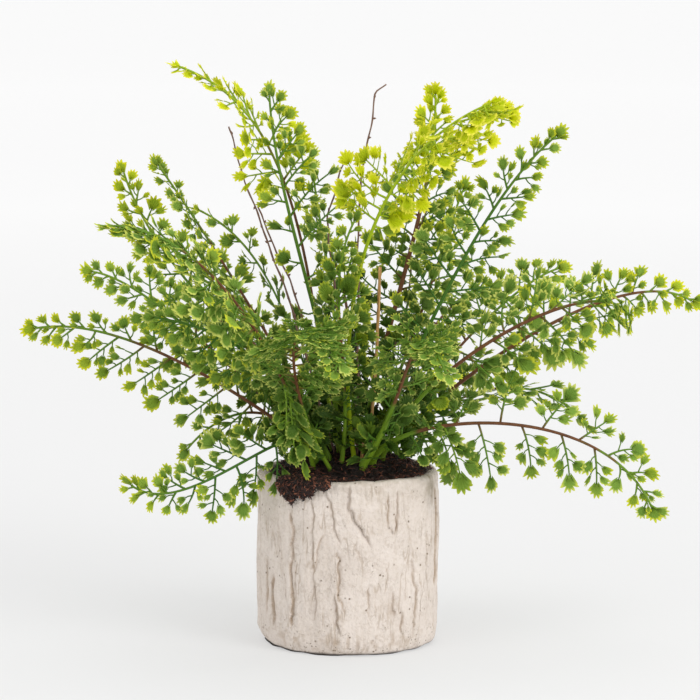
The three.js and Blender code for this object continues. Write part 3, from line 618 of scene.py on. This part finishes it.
fans = {
    kind: [fanTemplate(*form, 10 * i + j) for j, form in enumerate(row)]
    for i, (kind, row) in enumerate(forms.items())
}


core = {"wide": 80, "middle": 170, "tall": 100}  # painted shade: leaflets are painted darker in here, deep in the bush


def addLeaflet(heap, rng, place, out, normal, size, kind, look):
    form = fans[kind][rng.integers(len(fans[kind]))]
    out = unit(out)
    x, y, z = place
    # inner: how deep in the bush the leaflet sits, used for painted shade
    inner = math.exp(-(x * x + (y - 20) ** 2) / core["wide"] ** 2 - ((z - core["middle"]) / core["tall"]) ** 2)
    across = unit(np.cross(out, turned(normal, out, rng.normal(0, look["roll"]))))
    facing = np.cross(across, out)
    shape = form["points"] - (0, fan["seat"], 0)
    shape[:, 0] *= rng.uniform(0.86, 1.12)
    curl, cup, lean = rng.uniform(-0.12, 0.3), rng.uniform(-0.3, 0.42), rng.normal(0, 0.07)
    shape[:, 2] += cup * shape[:, 0] ** 2 - curl * shape[:, 1] ** 2
    shape[:, 0] += lean * shape[:, 1] ** 2
    points = place + size * (
        shape[:, :1] * across + shape[:, 1:2] * out + shape[:, 2:] * facing
    )
    # painted shade: deeper leaflets get a darker tone and a narrower pale edge
    pour(
        heap, points, form["faces"], 0,
        edge=form["edge"] * look["rim"] * (1 - 0.5 * inner), vein=form["vein"], inner=inner,
        tone=(0.42 + 0.5 * rng.random()) * look["tone"] * (1 - 0.5 * inner),
        lime=np.clip(look["lime"] + min(rng.normal(0, 0.12), 0.14), 0, 1), brown=0.0,
    )


def addStalk(heap, path, radii, normal, brown, lime, stem):
    points, faces = tube(path, radii, normal, 4)
    pour(heap, points, faces, 1, edge=0.0, vein=0.0, tone=stem, inner=0.0, lime=lime, brown=np.repeat(brown, 4))


def addSpray(heap, rng, base, out, normal, reach, look, brown, form=spray, kind="big"):
    big = min(form["big"] * look["grow"] * rng.uniform(0.78, 1.16), reach * 0.72)
    neck = reach - big * 0.9
    steps = np.linspace(0, 1, 7)
    bend = rng.normal(-14, 12) if reach > 18 else rng.normal(0, 8)
    headings = np.array([turned(out, normal, bend * (s - 0.5)) for s in steps])
    path = base + np.concatenate([[np.zeros(3)], np.cumsum(headings[:-1], axis=0) * neck / 6])
    path[:, 2] -= (0.02 + 0.05 * rng.random()) * neck * steps**2
    browned = brown * (1 - smooth(steps, 0.1, 0.25))
    addStalk(heap, path, np.interp(steps, (0, 1), (spray["stalk"] * 1.1, spray["twig"])), normal, browned, look["stalkLime"], look["stem"])
    addLeaflet(heap, rng, path[-1], headings[-1], normal, big, kind, look)
    count = int(np.clip(round((neck - 3) / spray["gap"] / look["grow"]), 0, spray["most"]))
    side = 1 if rng.random() > 0.5 else -1
    for i in range(count):
        s = 0.2 + 0.66 * (i + 0.3 * rng.random()) / count
        at = np.array([np.interp(s, steps, path[:, k]) for k in range(3)])
        heading = unit(np.array([np.interp(s, steps, headings[:, k]) for k in range(3)]))
        side = -side
        small = min(form["small"] * look["grow"] * rng.uniform(0.72, 1.18), reach * 0.45)
        length = 1.2 + small * rng.uniform(0.3, 0.62)
        outSide = turned(heading, normal, side * rng.uniform(46, 70))
        outSide = unit(outSide + normal * rng.normal(0, 0.28))
        onward = turned(outSide, normal, -side * rng.uniform(0, 26))
        twig = np.array([at, at + outSide * length * 0.55, at + (outSide * 0.55 + onward * 0.45) * length])
        addStalk(heap, twig, [spray["twig"], spray["twig"] * 0.85, spray["twig"] * 0.75], normal, np.zeros(3), look["stalkLime"], look["stem"])
        addLeaflet(heap, rng, twig[-1], onward, normal, small, "long" if kind == "long" else "small", look)


def ribPlace(ends, t):
    a, b = t - 1 / 3, t - 2 / 3
    parts = (-4.5 * a * b * (t - 1), 13.5 * t * b * (t - 1), -13.5 * t * a * (t - 1), 4.5 * t * a * b)
    return sum(part * end for part, end in zip(parts, ends))


def ribFrame(frond, ends, share):
    along = unit(ribPlace(ends, share + 0.01) - ribPlace(ends, share - 0.01))
    face, last = np.array(frond["face"], float), np.array(frond.get("tipFace", frond["face"]), float)
    left = unit(np.cross(face + (last - face) * smooth(share, 0.55, 0.85), along))
    left = turned(left, along, frond["twist"] * share)
    return ribPlace(ends, share), along, left, np.cross(along, left)


def makeFrond(number, materials):
    frond = {**usual, **fronds[number - 1]}
    rng = np.random.default_rng(700 + number)
    heap = newHeap()
    x, y = frond["foot"]
    foot = np.array([x, y, soilHeight(x, y) + rib["rise"]])
    ends = [foot, *(np.array(frond[key], float) for key in ("low", "high", "tip"))]
    shares = np.linspace(0, 1, rib["steps"])
    stations = [ribFrame(frond, ends, s) for s in shares]
    path, across = np.array([s[0] for s in stations]), np.array([s[2] for s in stations])
    length = np.sum(np.linalg.norm(np.diff(path, axis=0), axis=1))
    buried = foot - np.array([0, 0, rib["buried"] + rib["rise"]])
    path, across = np.concatenate([[buried], path]), np.concatenate([across[:1], across])
    allShares = np.concatenate([[0], shares])
    stout, slim = frond["girth"]
    radii = rib["foot"] + (rib["tip"] - rib["foot"]) * np.sqrt(allShares)
    radii = radii * (slim + (stout - slim) * (1 - smooth(allShares, 0, 0.3)) + (1 - slim) * smooth(allShares, 0.55, 1))
    grooved = np.ones(rib["sides"])
    grooved[[rib["sides"] // 4, 3 * rib["sides"] // 4]] = 0.72
    points, faces = tube(path, radii, across, rib["sides"], grooved)
    wobble = np.array([0.06 * math.sin(9 * s * length / 20) for s in allShares])
    brown = 1 - smooth(allShares + wobble, frond["brown"] - 0.04, frond["brown"] + 0.04)
    brown = brown * (frond["brown"] > 0) * smooth(allShares, 0.24, 0.27)
    stalkLime = max(0, 1.7 * frond["lime"] - 0.7)
    limes = np.maximum(stalkLime, 0.24 * (1 - smooth(allShares, 0.1, 0.35)))
    limes = np.maximum(limes, frond["gold"] * smooth(allShares, 0.62, 0.95))
    pour(
        heap, points, faces, 1, edge=0.0, vein=0.0, tone=frond["stem"], inner=0.0,
        lime=np.repeat(limes, rib["sides"]), brown=np.repeat(brown, rib["sides"]),
    )
    count = round(length * (1 - frond["bare"]) / spray["spacing"] * frond["dense"])
    for i in range(count):
        along = 1 - (1 - (i + 0.3) / count) ** frond["crowd"]
        share = frond["bare"] + along * (1 - frond["bare"])
        place, forward, left, normal = ribFrame(frond, ends, share)
        side = 1 if i % 2 else -1
        taper = min(frond["first"] + 1.2 * along, 1, frond["full"] - along)
        reach = frond["reach"] * taper * (1 + side * frond["uneven"]) * rng.uniform(0.82, 1.12)
        spread = math.radians(np.interp(along, (0, 1), frond["spread"]) + rng.normal(0, 5))
        out = math.cos(spread) * forward + side * math.sin(spread) * left
        lift = math.radians(rng.normal(-frond["back"], 13))
        out = unit(out * math.cos(lift) + normal * math.sin(lift))
        facing = unit(normal - out * (normal @ out))
        late, last = float(smooth(share, *frond["limeFrom"])), float(smooth(share, 0.62, 1))
        look = {
            "lime": frond["lime"] * (0.2 + 0.8 * late) + frond["gold"] * last + min(rng.normal(0, 0.05), 0.05),
            "rim": rng.uniform(0.6, 1) + frond["margin"] * (0.6 + 0.4 * last), "tone": 1,
            "grow": (1.12 - 0.3 * along) * frond["grow"], "roll": frond["roll"], "stem": frond["stem"],
            "stalkLime": max(stalkLime, frond["gold"] * last),
        }
        isBrown = float(share < frond["brown"])
        addSpray(heap, rng, place, out, facing, max(reach, 10), look, isBrown, spray, frond["kind"])
    place, forward, left, normal = ribFrame(frond, ends, 1)
    look = {"lime": frond["lime"] + frond["gold"], "rim": 1 + frond["margin"], "tone": 1, "roll": 20}
    addLeaflet(heap, rng, place, forward, normal, spray["big"] * 0.95, frond["kind"], look)
    each, *lowReach = frond["tuft"]
    lowEnd = min(frond["bare"], lowSpray["to"])
    for share in np.linspace(lowSpray["from"], lowEnd, each):
        place, forward, left, normal = ribFrame(frond, ends, share)
        out = unit(turned(left, forward, rng.uniform(0, 360)) + forward * rng.uniform(0.1, 0.9))
        if place[1] < 0 and share < 0.2:  # the bark stays in sight
            out = unit(np.array([out[0], out[1], max(out[2], 0.3)]))
        facing = unit(np.array([0, -0.8, 0.6]) + 0.5 * rng.normal(size=3))
        facing = unit(facing - out * (facing @ out))
        # painted shade: low sprays nearer the foot of the rib get a darker tone and narrower pale edges
        inner = 1 - share / lowEnd
        look = {
            "lime": 0.2 * frond["lime"] + rng.normal(0.02, 0.06), "rim": rng.uniform(0.3, 0.95) * (1 - 0.5 * inner),
            "grow": 1, "tone": 0.95 - 0.45 * inner, "roll": 30, "stalkLime": 0, "stem": 0.3,
        }
        addSpray(heap, rng, place, out, facing, rng.uniform(*lowReach), look, 0, lowSpray, "broad")
    for kind, share, aim, reach in frond["sprigs"]:
        place = ribFrame(frond, ends, share)[0]
        out = unit(np.array(aim))
        facing = np.array([0.5, -0.35, 1]) if kind == "long" else np.array([0, -1, 0.2])
        facing = unit(facing - out * (facing @ out))
        look = {"lime": frond["lime"], "rim": 0.6, "grow": 1, "tone": 0.9, "roll": 14, "stalkLime": max(0.2, stalkLime), "stem": 0.5}
        addSpray(heap, rng, place, out, facing, reach, look, 0, sprig[kind], kind)
    return makePiece(f"fernFrond_{number:02d}", heap, *materials)


def leafMaterial():  # printed cloth leaf: satin green, pale at its toothed edge, light comes through
    material, tree = newMaterial("leafClothPrinted")
    tone, lime = attribute(tree, "tone"), attribute(tree, "lime")
    green = blend(tree, tone, "#3E6618", "#89AB40")
    green = blend(tree, ramped(tree, noise(tree, 9, 2), (0.42, "#000000"), (0.7, "#909090")), green, "#467226")
    # painted shade: leaflets deep in the bush are painted dark green
    green = blend(tree, attribute(tree, "inner"), green, "#243E07")
    bright = blend(tree, tone, "#98B600", "#D4DA00")
    body = blend(tree, ramped(tree, lime, (0.12, "#000000"), (0.95, "#FFFFFF")), green, bright)
    veins = ramped(tree, attribute(tree, "vein"), (0.72, "#000000"), (1, "#4A4A4A"))
    body = blend(tree, veins, body, "#93AC3A")
    rimTone = ramped(tree, lime, (0, "#D2D86E"), (0.15, "#C5CB30"), (0.6, "#E0DC14"), (1, "#ECE64E"))
    rimShare = ramped(tree, attribute(tree, "edge"), (0.14, "#000000"), (0.66, "#F4F4F4"))
    body = blend(tree, rimShare, body, rimTone)
    ripple = addNode(tree, "Bump", {"Height": attribute(tree, "vein"), "Strength": 0.35, "Distance": 0.25 * mm})
    values = {"Base Color": body, "Roughness": 0.55, "Specular IOR Level": 0.22, "Normal": ripple.outputs[0]}
    front = addNode(tree, "BsdfPrincipled", values)
    through = addNode(tree, "BsdfTranslucent", {"Color": body})
    both = addNode(tree, "MixShader", {0: 0.22, 1: front.outputs[0], 2: through.outputs[0]})
    surface(tree, both.outputs[0])
    return material


def ribMaterial():  # moulded plastic rib: brown below, green towards the tip
    material, tree = newMaterial("ribPlasticMoulded")
    green = blend(tree, attribute(tree, "tone"), "#37631C", "#76982A")
    green = blend(tree, ramped(tree, noise(tree, 6, 2), (0.4, "#000000"), (0.7, "#606060")), green, "#2F5410")
    green = blend(tree, attribute(tree, "lime"), green, "#9DB416")
    brown = blend(tree, noise(tree, 4, 3, (1, 1, 0.4)), "#40261A", "#855834")
    body = blend(tree, attribute(tree, "brown"), green, brown)
    shader = addNode(tree, "BsdfPrincipled", {"Base Color": body, "Roughness": 0.5, "Specular IOR Level": 0.22})
    surface(tree, shader.outputs[0])
    return material


foliage = (leafMaterial(), ribMaterial())
for number in range(1, len(fronds) + 1):
    piece = makeFrond(number, foliage)
    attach(piece, "root")
    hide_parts(f"frond_{number:02d}")
print("fronds grown")


# Bare twigs and dry straws

twigs = {
    "twig_1": [(-9, -1), (-39, 8, 227), (-54, 11, 268), (-68, 14, 305), (-79, 16, 342)],
    "twig_2": [(6, -8), (7, -9, 296), (12, -9, 329), (18, -9, 366), (25, -10, 372)],
    "twig_3": [(-1, 7), (-39, 20, 239), (-51, 21, 266), (-60, 22, 288)],
    "twig_4": [(4, 3), (-11, 6, 254), (-14, 8, 284), (-3, 8, 318)],
    "twig_5": [(12, 28), (40, 46, 220), (44, 54, 262), (54, 58, 284)],
}
straws = {
    "straw_1": [(14, -8), (19, -10, 196), (21, -12, 252)],
    "straw_2": [(9, -15), (12, -18, 150)],
    "straw_3": [(3, -5), (6, -6, 146)],
    "straw_4": [(21, 22), (33, 36, 168)],
}


def makeStick(name, places, half, taper, wobble, material):
    rng = np.random.default_rng(sum(map(ord, name)))
    heap = newHeap()
    x, y = places[0]
    onBark = np.array([x, y, soilHeight(x, y) + rib["rise"]])
    corners = np.array([onBark - (0, 0, rib["buried"] + rib["rise"]), onBark, *places[1:]], float)
    steps = np.concatenate([[0], np.cumsum(np.linalg.norm(np.diff(corners, axis=0), axis=1))])
    fine = np.linspace(0, steps[-1], max(10, int(steps[-1] / 2.6)))
    path = np.stack([np.interp(fine, steps, corners[:, k]) for k in range(3)], 1)
    ends = smooth(fine, 12, 30)[:, None] * (1 - smooth(fine, steps[-1] - 6, steps[-1]))[:, None]
    path += ends * wobble * np.stack([np.sin(fine / 9 + k * 2 + half) + 0.5 * np.sin(fine / 4 + k) for k in range(3)], 1)
    radii = half * (1 + (taper - 1) * fine / steps[-1]) * (1 + 0.12 * np.sin(fine / 2.3))
    points, faces = tube(path, radii, np.array([0, 1.0, 0.1]), 8)
    pour(heap, points, faces, tone=np.repeat(0.5 + 0.5 * np.sin(fine / 7), 8))
    if wobble > 0.3:
        for s in np.arange(40, steps[-1], 13.0):
            at = np.array([np.interp(s, fine, path[:, k]) for k in range(3)])
            out = unit(rng.normal(size=3) + (0, 0, 0.8))
            bud = np.array([at, at + out * 1.3, at + out * 2.5])
            points, faces = tube(bud, [0.7, 0.75, 0.15], unit(np.cross(out, (0.3, 0.2, 1))), 6)
            pour(heap, points, faces, tone=0.1)
    return makePiece(name.replace("_", "Stick_"), heap, material)


def twigMaterial():  # thin woody twig, dark and dull
    material, tree = newMaterial("twigWoody")
    body = blend(tree, noise(tree, 2.4, 4), "#43291F", "#94705E")
    shader = addNode(tree, "BsdfPrincipled", {"Base Color": body, "Roughness": 0.65})
    surface(tree, shader.outputs[0])
    return material


def strawMaterial():  # dry straw: tan, satin, darker along its grain
    material, tree = newMaterial("strawDry")
    grain = ramped(tree, noise(tree, 1.1, 3, (1, 1, 0.06)), (0.35, "#000000"), (0.7, "#FFFFFF"))
    body = blend(tree, grain, "#9B6A38", "#D9AE6C")
    shader = addNode(tree, "BsdfPrincipled", {"Base Color": body, "Roughness": 0.5})
    surface(tree, shader.outputs[0])
    return material


woody, dry = twigMaterial(), strawMaterial()
for name, places in {**twigs, **straws}.items():
    isTwig = name in twigs
    size = (0.85, 0.6, 0.5) if isTwig else (1.2, 0.85, 0.12)
    piece = makeStick(name, places, *size, woody if isTwig else dry)
    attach(piece, "root")
    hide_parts(name)
print("twigs and straws made")


# Floor and soft light

studio = {"floor": 4.7, "bend": 1.0, "wall": 2.4, "sides": 96}
glow = {"near": 0.3, "far": 2.6, "least": 0.46, "most": 0.65}  # painted light: the paper glows a little, more so far out, which lifts the shadows on it


def makeBackdrop():
    profile = [(0.3, 0), (1.2, 0), (2.6, 0)]
    for k in range(17):
        turn = math.radians(90 * k / 16)
        profile.append(
            (studio["floor"] + studio["bend"] * math.sin(turn), studio["bend"] * (1 - math.cos(turn)))
        )
    profile.append((studio["floor"] + studio["bend"], studio["wall"]))
    n, points = studio["sides"], [(0, 0, 0)]
    for r, z in profile:
        points += [(r * math.cos(math.tau * i / n), r * math.sin(math.tau * i / n), z) for i in range(n)]
    faces = [(0, 1 + i, 1 + (i + 1) % n) for i in range(n)]
    for k in range(len(profile) - 1):
        low, high = 1 + k * n, 1 + (k + 1) * n
        faces += [(low + i, high + i, high + (i + 1) % n, low + (i + 1) % n) for i in range(n)]
    mesh = bpy.data.meshes.new("backdrop")
    mesh.from_pydata(points, [], faces)
    mesh.polygons.foreach_set("use_smooth", [True] * len(faces))
    material, tree = newMaterial("glowingPaperBackdrop")
    place = addNode(tree, "TexCoord").outputs["Object"]
    away = addNode(tree, "VectorMath", {0: place}, operation="LENGTH").outputs["Value"]
    reach = {"From Min": glow["near"], "From Max": glow["far"], "To Min": glow["least"], "To Max": glow["most"]}
    shine = addNode(tree, "MapRange", {"Value": away, **reach}).outputs[0]
    values = {"Base Color": "#A3A3A3", "Roughness": 0.9, "Specular IOR Level": 0.2}
    # painted light: the backdrop's own glow
    shader = addNode(tree, "BsdfPrincipled", {**values, "Emission Color": "#FFFFFF", "Emission Strength": shine})
    surface(tree, shader.outputs[0])
    mesh.materials.append(material)
    floor = bpy.data.objects.new("backdrop", mesh)
    scene.collection.objects.link(floor)


lamps = {
    "keyLight": {"place": (1.85, -1.7, 1.45), "size": 1.3, "power": 36},
    "fillLight": {"place": (-1.9, -1.6, 1.1), "size": 1.8, "power": 9},
    "topLight": {"place": (0.1, 0.1, 2.1), "size": 1.6, "power": 15},
}


def addLamp(name, lamp):
    data = bpy.data.lights.new(name, "AREA")
    data.size, data.energy = lamp["size"], lamp["power"]
    light = bpy.data.objects.new(name, data)
    light.location = lamp["place"]
    aim = Vector((0, 0, 0.2)) - light.location
    light.rotation_euler = aim.to_track_quat("-Z", "Y").to_euler()
    scene.collection.objects.link(light)


makeBackdrop()
for name, lamp in lamps.items():
    addLamp(name, lamp)
world = bpy.data.worlds.new("studioAir")
world.use_nodes = True
world.node_tree.nodes["Background"].inputs["Color"].default_value = colour("#FFFFFF")
world.node_tree.nodes["Background"].inputs["Strength"].default_value = 0.62
scene.world = world
scene.view_settings.view_transform = "Standard"
print("studio lit")
